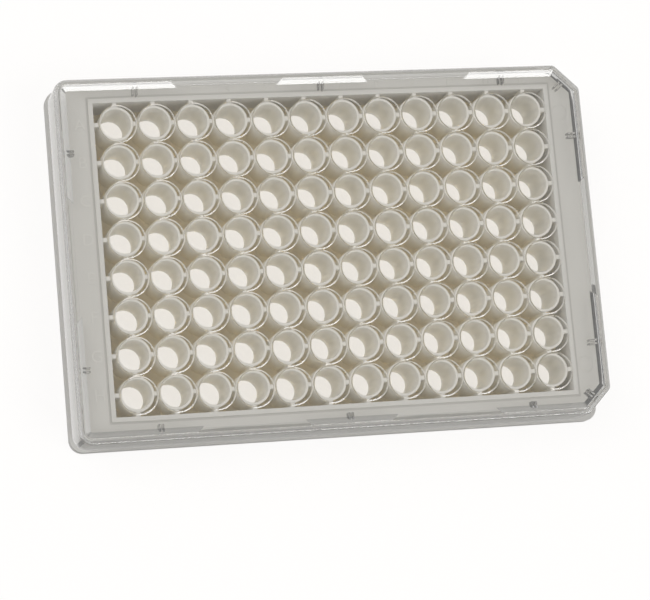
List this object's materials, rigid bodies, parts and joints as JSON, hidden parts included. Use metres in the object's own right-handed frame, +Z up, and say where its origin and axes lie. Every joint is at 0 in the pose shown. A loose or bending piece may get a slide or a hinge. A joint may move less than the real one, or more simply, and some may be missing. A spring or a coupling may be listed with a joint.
{
  "type": "well plate",
  "caption": "Standard-footprint microplate: opaque body with a grid of round flat-bottomed wells closed by a clear sheet, under a loose clear lid keyed by cut corners.",
  "frame": {"origin": "centre of the footprint, on the plane of the bench that the foot flange stands on", "axes": "+X runs along the rows from column 1 to column 12 (the cut corners are at +X), +Y points from row H to row A, +Z is up out of the wells"},
  "size_m": [0.1278, 0.0854, 0.0182],
  "materials": {
    "white_polystyrene": "moulded opaque off-white polystyrene, satin gloss",
    "clear_sheet": "optically clear polystyrene sheet, polished",
    "clear_lid": "clear moulded polystyrene, polished"
  },
  "bodies": {
    "root": {"plate_body": "white_polystyrene", "well_window": "clear_sheet", "lid": "clear_lid"}
  },
  "joints": []
}
